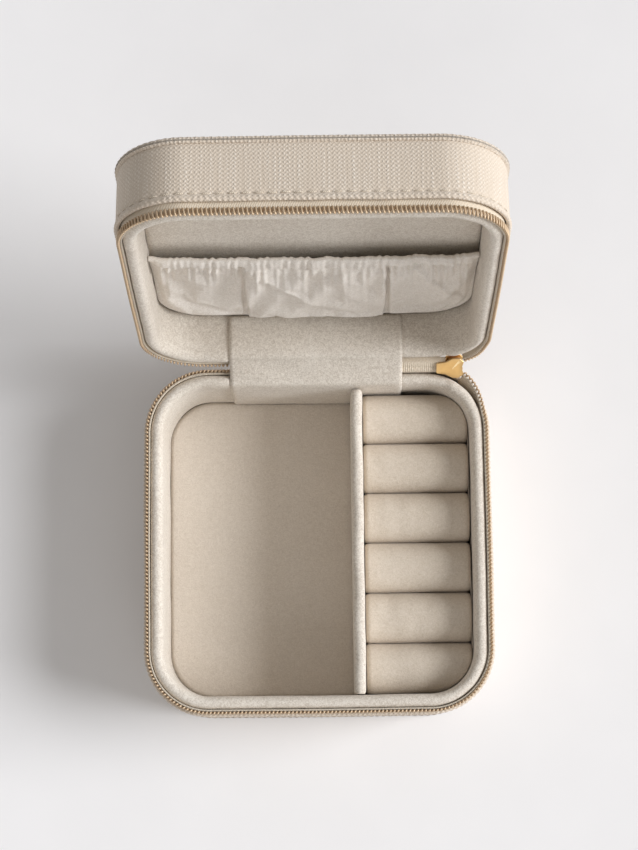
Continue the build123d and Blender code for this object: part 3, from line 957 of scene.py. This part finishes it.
def canvas_spine():
    """The canvas strip that folds round the outside of the hinge."""
    end = TAPE_BARE + 1.4
    corner_path = hinge_path(HALF + CANVAS_OUT - 0.5, HINGE[2] - end, -0.2, 0.0, end, 0.9)
    path = resample(soften(np.delete(corner_path, 3, 0), 3), 0.3)    # both chain points are the same one

    def ripple(x, t):
        return 0.06 * waves(161, x / 11.0, t / 4.0)

    piece = strip("canvas_spine", path, SPINE_HALF, 0.8, CANVAS, ripple)
    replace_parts(piece, "hinge_canvas")
    bend_with_lid(piece)


def chain_tape():
    """The tapes of the closed stretch: up from the base, side by side over the chain, up into the lid."""
    level, inset, half_thick = 0.85, HALF - 0.65, 0.22
    over = [(HINGE + ACROSS * a + INWARD * level)[1:] for a in (-1.5, -0.2, 0.0, 0.2, 1.5)]
    into_lid = [(FRAMES["lid"][0] + LID_DOWN * inset + LID_OUT * depth)[1:] for depth in (1.0, 6.0)]
    path = np.array([(inset, HINGE[2] - 6.0), (inset, HINGE[2] - 1.0)] + over + into_lid)
    path = resample(soften(path, 2), 0.25)
    x = np.linspace(node_box("closed_zip_chain")[0], 38.2, 460)
    normal = leftward(directions(path))
    past = lengths(path) - lengths(path)[-1] / 2
    # the chain's teeth press through the tapes as a row of small ribs
    teeth = 0.5 + 0.5 * np.cos(x * 4 * math.pi / COIL_PITCH)
    proud = half_thick - 0.2 * bell(past, 0.22) + 0.11 * np.exp(-((past / 1.5) ** 4)) * teeth[:, None]
    upper = path + normal * proud[..., None]
    lower = np.broadcast_to(path - normal * half_thick, upper.shape)
    loop = np.concatenate([upper, lower[:, ::-1]], axis=1)
    # the tapes' far end narrows into the slider
    from_hinge = loop - HINGE[1:]
    far = np.linalg.norm(from_hinge, axis=-1)
    keep = 1 - smooth((x - 33.0) / 4.0)[:, None] * np.maximum(far - 2.6, 0) / np.maximum(far, 1e-6)
    loop = HINGE[1:] + from_hinge * keep[..., None]
    sections = np.dstack([np.broadcast_to(x[:, None], loop.shape[:2]), loop])
    piece = loft("chain_tape", place("row", sections), False, TAPE)
    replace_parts(piece, "chain_tapes")
    bend_with_lid(piece)


def chain_coil():
    """The two coils meshed together behind the tapes of the closed stretch."""
    x0, x1 = node_box("closed_zip_chain")[:2]
    s = np.arange(x0 + 0.3, x1 - 0.3, COIL_PITCH / 12)
    wide, deep, wire = 0.62, 0.22, 0.24
    blocks = []
    for sign in (-1, 1):
        line = np.column_stack([s, np.full(len(s), wide * sign), np.full(len(s), -0.15)])
        rings = coil_rings(s + sign * COIL_PITCH / 4, line, sign * Y_AXIS, Z_AXIS, wide, deep, wire)
        blocks.append(place("chain", rings))
    piece = join_lofts("closed_coil", blocks, COIL_GOLD)
    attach(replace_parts(piece, "closed_zip_chain"), "zip_chain")


# ------------------------------------------------------------------ slider and pull
def rounded(points, radii, steps=6):
    """A closed outline with its corners rounded."""
    p = np.asarray(points, float)
    out = []
    for k in range(len(p)):
        before, here, after = p[k - 1], p[k], p[(k + 1) % len(p)]
        a, b = before - here, after - here
        a, b = a / np.linalg.norm(a), b / np.linalg.norm(b)
        half_angle = math.acos(float(np.clip(a @ b, -0.999, 0.999))) / 2
        r = radii if np.isscalar(radii) else radii[k]
        room = 0.48 * min(np.linalg.norm(before - here), np.linalg.norm(after - here))
        back = min(r / math.tan(half_angle), room)
        start, end = here + a * back, here + b * back
        for t in np.linspace(0, 1, steps):
            out.append((1 - t) ** 2 * start + 2 * t * (1 - t) * here + t**2 * end)
    return np.array(out)


def inset_outline(outline, amount):
    """A closed outline moved inwards."""
    ahead, behind = np.roll(outline, -1, 0), np.roll(outline, 1, 0)
    tangent = ahead - behind
    tangent /= np.maximum(np.linalg.norm(tangent, axis=1, keepdims=True), 1e-9)
    turn = np.sum(outline[:, 0] * ahead[:, 1] - ahead[:, 0] * outline[:, 1])
    return outline + leftward(tangent) * np.sign(turn) * amount


def slab(outline, low, high, bevel, dome=0.0):
    """Sections of a plate with rounded edges, stacked from low to high; dome raises the middle of its top."""
    rows = []
    turns = [(1 - math.sin(a), 1 - math.cos(a)) for a in np.linspace(0, math.pi / 2, 4)]
    for inward, upward in turns:
        rows.append(lift(inset_outline(outline, bevel * inward), low + bevel * upward))
    for upward, inward in turns:
        rows.append(lift(inset_outline(outline, bevel * inward), high - bevel * upward))
    middle = outline.mean(0)
    for share, rise in ((0.55, 0.7), (0.12, 1.0)):
        top = middle + (inset_outline(outline, bevel) - middle) * share
        rows.append(lift(top, high + dome * rise))
    return np.array(rows)


def zip_slider():
    """Two wings, the post between them, the side guides and the bridge that holds the pull."""
    tail, nose = node_box("zip_slider")[:2]
    middle = (tail + nose) / 2
    reach = (nose - tail) / 2
    wing = rounded(
        [(-reach, -1.75), (-1.4, -2.05), (0.6, -3.2), (2.6, -3.3), (reach, -2.1), (reach - 0.7, 0.0),
         (reach, 2.1), (2.6, 3.3), (0.6, 3.2), (-1.4, 2.05), (-reach, 1.75)],
        [0.8, 1.2, 1.3, 1.1, 0.7, 1.3, 0.7, 1.1, 1.3, 1.2, 0.8],
    ) + (middle, 0)
    post = rounded([(-0.85, 0), (0, -0.9), (0.95, 0), (0, 0.9)], 0.3) + (middle + 1.9, 0)
    inner, outer = 1.2, -1.8
    blocks = [
        slab(wing, inner, inner + 0.78, 0.22, 0.10),
        slab(wing, outer, outer + 0.8, 0.22)[:-1],
        slab(post, outer + 0.5, inner + 0.3, 0.05),
    ]
    for sign in (-1, 1):
        back, front = -reach + 0.2, -0.9
        corners = [(back, sign * 1.6), (front, sign * 1.72), (front, sign * 2.02), (back, sign * 1.9)]
        guide = rounded(corners, 0.1)[::sign] + (middle, 0)
        blocks.append(slab(guide, outer + 0.6, outer + 1.55, 0.06))
    sections = [place("chain", b) for b in blocks]
    # the bridge is a flat bar bent over the outer wing, its points put in order from tail to nose
    half, foot, crest = 1.95, outer + 0.3, outer - 1.85
    arch = rounded([(-half, foot), (-half, crest), (half, crest), (half, foot)], 0.9, 8)
    bar = np.vstack([arch[arch[:, 1] < foot - 0.01], [(-half, foot), (half, foot)]])
    bar = bar[np.argsort(-np.arctan2(foot - bar[:, 1] + 1e-6, bar[:, 0]))]
    line = np.column_stack([middle + bar[:, 0], np.zeros(len(bar)), bar[:, 1]])
    profile = rounded([(-0.6, -0.38), (0.6, -0.38), (0.6, 0.38), (-0.6, 0.38)], 0.22, 4)
    up = np.cross(directions(line), Y_AXIS)
    rings = line[:, None] + Y_AXIS * profile[None, :, :1] + up[:, None] * profile[None, :, 1:]
    sections.append(place("chain", rings))
    piece = join_lofts("slider_body", sections, GOLD)
    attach(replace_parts(piece, "zip_slider"), "slider")


def zip_pull():
    """A leaf-shaped tab on two cheeks, hung on the bridge by its pin."""
    tab = rounded(
        [(-0.95, 2.7), (0.95, 2.7), (2.2, 5.4), (2.3, 13.2), (1.5, 16.9), (-1.5, 16.9), (-2.3, 13.2),
         (-2.2, 5.4)],
        [0.4, 0.4, 2.5, 5.0, 1.6, 1.6, 5.0, 2.5],
    )
    blocks = [slab(tab, -0.5, 0.5, 0.2, 0.06)]
    for sign in (-1, 1):
        near, far = sign * 0.95, sign * 1.7
        cheek = rounded([(near, -0.45), (far, -0.45), (far, 3.6), (near, 4.2)], 0.3)
        blocks.append(slab(cheek[::sign], -0.5, 0.5, 0.16))
    pin = np.column_stack([np.linspace(-1.6, 1.6, 5), np.zeros(5), np.zeros(5)])
    blocks.append(tube(pin, Y_AXIS, 0.45, 12))
    piece = join_lofts("pull_tab", [place("pull", b) for b in blocks], GOLD)
    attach(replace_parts(piece, "zip_pull"), "pull")


# ------------------------------------------------------------------ lid pocket
POCKET_HALF, POCKET_HEM, POCKET_FOOT, POCKET_CORNER = 45.2, -2.9, 41.4, 13.0
PROUD_HEM, PROUD_FOOT = 4.0, 0.9
PLEAT_LEFT, PLEAT_RIGHT = -19.4, 20.0
HEM_WIDE = 4.4
HEM_DIP = 1.1                                     # how far the hem's middle hangs below its ends


def pocket_half_width(v):
    """Half of the pocket's width at v, with its two lower corners round."""
    over = np.clip(v - (POCKET_FOOT - POCKET_CORNER), 0, POCKET_CORNER)
    return POCKET_HALF - POCKET_CORNER + np.sqrt(np.maximum(POCKET_CORNER**2 - over**2, 0))


def pocket_start(columns, rows):
    """The gathered pouch before the cloth settles: (rows, columns) places in the lid's frame."""
    u = np.linspace(-1, 1, columns)[None, :]
    t = np.linspace(0, 1, rows)[:, None]
    dip = HEM_DIP * (1 - u**2)
    v = POCKET_HEM + dip * (1 - t) ** 2 + (POCKET_FOOT - POCKET_HEM) * t
    x = u * pocket_half_width(v)
    below = v - POCKET_HEM - dip
    share = np.clip(below / (POCKET_FOOT - POCKET_HEM), 0, 1)
    proud = PROUD_HEM + (PROUD_FOOT - PROUD_HEM) * share
    from_side = pocket_half_width(v) - np.abs(x)
    inside = np.minimum(from_side, POCKET_FOOT - v)
    floor_share = 0.16 + 0.84 * (1 - share) ** 4
    proud = proud * (floor_share + (1 - floor_share) * smooth(inside / 3.0))
    # the hem tube: small uneven gathers, pinched along the elastic's stitching
    gather = 0.5 + 0.5 * waves(171, x / 3.6, count=9, spread=(0.7, 1.6))
    calm = smooth((from_side - 0.5) / 4.0)
    tubewise = smooth(below) * smooth((HEM_WIDE + 0.8 - below) / 1.4)
    hem = (0.55 + 0.45 * tubewise) * smooth((HEM_WIDE + 1.5 - below) / 1.5)
    proud = proud + 1.7 * calm * gather * hem
    proud = proud - 0.9 * bell(below - HEM_WIDE, 0.8) * (0.4 + 0.6 * calm)
    # puckers fan out below the stitching and die away
    past = np.maximum(below - HEM_WIDE, 0)
    fan = (x - 0.06 * past * x / POCKET_HALF) / 3.2
    reach = 4.0 + 3.5 * (1 + waves(178, x / 7.0))
    teardrop = np.maximum(waves(173, fan, count=7), -0.4) * np.exp(-past / reach)
    pucker = teardrop * smooth((past + 0.5) / 2.1)
    folds = waves(174, x / 13.0 + 0.02 * past, below / 60.0) * smooth(past / 6.0) * np.exp(-past / 26.0)
    proud = proud + calm * (2.4 * pucker + 1.7 * folds)
    # the box pleat stands proud between two crisp folds
    left = smooth((x - PLEAT_LEFT - 0.4 * waves(175, below / 20.0)) / 0.35)
    right = smooth((PLEAT_RIGHT + 0.5 * waves(176, below / 22.0) - x) / 0.35)
    pleat = left * right * smooth((below - 2.0) / 5.0)
    proud = proud + pleat * (1.7 - 0.7 * share**2 + 0.3 * waves(177, x / 17.0, below / 15.0))
    valley = bell(x - PLEAT_LEFT + 0.5, 0.6) + bell(x - PLEAT_RIGHT - 0.5, 0.6)
    proud = proud - 1.5 * valley * smooth(past / 4.0)

    def crease(slant, sharp, wide):
        """A long fold with one sharp side, along the line where slant is 0."""
        return smooth((slant + 0.6) / sharp) * np.exp(-np.maximum(slant, 0) / wide) * smooth(past / 3.0)

    across_pleat = crease((x + 17.5) - (below - 6.0) * 0.75, 1.6, 5.0) * smooth((36 - below) / 8.0)
    right_panel = crease((30.0 - x) + (below - 8.0) * 0.55, 2.0, 6.0) * smooth((38 - below) / 9.0)
    proud = proud + 1.3 * across_pleat + right_panel * calm
    return np.dstack([x, v, FLOOR_DEPTH["lid"] - 0.25 - np.maximum(proud, 0.25)])


def settle_cloth(points, pinned, faces, frames=24):
    """Lets slack cloth find its folds: a short cloth run on a copy, pinned where pinned is 1."""
    probe = new_object("cloth_probe", points, faces)
    group = probe.vertex_groups.new(name="pinned")
    for index, weight in enumerate(pinned):
        if weight > 0.01:
            group.add([index], float(weight), "REPLACE")
    modifier = probe.modifiers.new("Cloth", "CLOTH")
    settings = modifier.settings
    settings.quality = 6
    settings.mass = 0.05
    settings.tension_stiffness = settings.compression_stiffness = 18
    settings.shear_stiffness = 6
    settings.bending_stiffness = 1.2
    settings.tension_damping = settings.compression_damping = 12
    settings.air_damping = 6
    settings.vertex_group_mass = "pinned"
    settings.pin_stiffness = 1.0
    settings.shrink_min = -0.035
    settings.effector_weights.gravity = 0
    modifier.collision_settings.use_collision = False
    scene = bpy.context.scene
    scene.frame_start, scene.frame_end = 1, frames
    modifier.point_cache.frame_start, modifier.point_cache.frame_end = 1, frames
    for frame_number in range(1, frames + 1):
        scene.frame_set(frame_number)
    graph = bpy.context.evaluated_depsgraph_get()
    result = probe.evaluated_get(graph).to_mesh()
    settled = np.zeros(len(result.vertices) * 3)
    result.vertices.foreach_get("co", settled)
    settled = settled.reshape(-1, 3)
    scene.frame_set(1)
    bpy.data.objects.remove(probe)
    return settled


def lid_pocket():
    """The gathered pouch: one cloth, thicker along the hem, which holds the elastic."""
    columns, rows = 300, 130
    start = pocket_start(columns, rows)
    coarse_c, coarse_r = 150, 76
    coarse = pocket_start(coarse_c, coarse_r)
    u, t = np.meshgrid(np.linspace(0, 1, coarse_c), np.linspace(0, 1, coarse_r))
    from_side = np.minimum(u, 1 - u) * 2
    edge = np.minimum(from_side, 1 - t)
    pinned = np.maximum(smooth((0.05 - edge) / 0.04), smooth((0.16 - t) / 0.03))
    pinned[:, :3] = pinned[:, -3:] = pinned[-1] = 1
    scale = 50.0                              # the run works at a size where Blender's cloth is at ease
    points = place("lid", coarse).reshape(-1, 3)
    settled = settle_cloth(points * scale, pinned.ravel(), grid_faces(coarse_r, coarse_c)) / scale
    moved = unplace("lid", settled).reshape(coarse_r, coarse_c, 3) - coarse
    moved = np.clip(moved, -1.1, 1.1)
    moved[..., :2] *= 0.8
    moved *= smooth(from_side / 0.14)[..., None]
    start = start + refine(moved, rows, columns)
    start[..., 2] = np.minimum(start[..., 2], FLOOR_DEPTH["lid"] - 1.2)
    thick = 0.55
    hem = smooth(HEM_WIDE - (start[..., 1] - start[:1, :, 1]))[..., None]
    back = start + Z_AXIS * (thick + 0.9 * hem)
    back[..., 2] = np.minimum(back[..., 2], FLOOR_DEPTH["lid"] + 0.2)
    # the mouth is a rolled fold, not a cut edge
    lip_rows = []
    half = (back[0, :, 2] - start[0, :, 2]) / 2
    for a in np.linspace(0.15, 0.85, 6) * math.pi:
        row = (start[0] + back[0]) / 2
        row[:, 2] -= half * math.cos(a)
        row[:, 1] -= half * 0.8 * math.sin(a)
        lip_rows.append(row)
    sections = np.concatenate([start[::-1], np.array(lip_rows), back], 0).transpose(1, 0, 2)
    piece = loft("suede_pocket", place("lid", sections), False, POCKET_SUEDE)
    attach(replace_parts(piece, "lid_pocket"), "lid")
    return piece


def refine(field, rows, columns):
    """A coarse (rows, columns, 3) field read on a finer grid, straight between its points."""
    r = np.linspace(0, field.shape[0] - 1, rows)
    c = np.linspace(0, field.shape[1] - 1, columns)
    r0 = np.minimum(r.astype(int), field.shape[0] - 2)
    c0 = np.minimum(c.astype(int), field.shape[1] - 2)
    fr, fc = (r - r0)[:, None, None], (c - c0)[None, :, None]
    a = field[r0][:, c0] * (1 - fc) + field[r0][:, c0 + 1] * fc
    b = field[r0 + 1][:, c0] * (1 - fc) + field[r0 + 1][:, c0 + 1] * fc
    return a * (1 - fr) + b * fr


def pocket_elastic():
    """Flat braided elastic inside the hem."""
    low = POCKET_HEM + 0.5
    half = 41.5
    x = np.linspace(-half, half, 160)
    gather = 0.25 * np.sin(2 * np.pi * x / 2.9)
    depth = FLOOR_DEPTH["lid"] - PROUD_HEM + 0.45
    loop = rounded([(low, -0.28), (low + 4.4, -0.28), (low + 4.4, 0.28), (low, 0.28)], 0.2, 4)
    sections = np.zeros((len(x), len(loop), 3))
    sections[..., 0] = x[:, None]
    sections[..., 1] = loop[:, 0] + HEM_DIP * (1 - (x[:, None] / 44.6) ** 2)
    droop = 0.4 * smooth((np.abs(x) - (half - 3.0)) / 3.0)
    sections[..., 2] = depth + loop[:, 1] + (gather * 0.4 + droop)[:, None]
    piece = loft("hem_elastic", place("lid", sections), False, ELASTIC)
    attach(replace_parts(piece, "pocket_elastic"), "lid")
    return piece


# ------------------------------------------------------------------ assembly
def dress_cad_nodes():
    """The stiff inner pieces and stops keep their CAD shape and get a finish."""
    finishes = {"board": BOARD, "ring_roll_card": BOARD, "stop": GOLD}
    for name, obj in frame["nodes"].items():
        for word, material in finishes.items():
            if word in name:
                obj.data.materials.clear()
                obj.data.materials.append(material)


stage_everything()
dress_cad_nodes()
for part in ("base", "lid"):
    canvas_band(part)
    canvas_panel(part)
    welt(part)
    topstitch(part)
    zip_tape(part)
    zip_coil(part)
    wall_lining(part)
floor_pad("base", "base_floor", "base_floor_pad", FLOOR_SUEDE, 1.2)
floor_pad("lid", "lid_ceiling", "lid_ceiling_pad", SUEDE, 4.0)
divider()
for number in range(1, 7):
    ring_roll(number)
strap()
canvas_spine()
chain_tape()
chain_coil()
zip_slider()
zip_pull()
elastic = pocket_elastic()
pocket = lid_pocket()
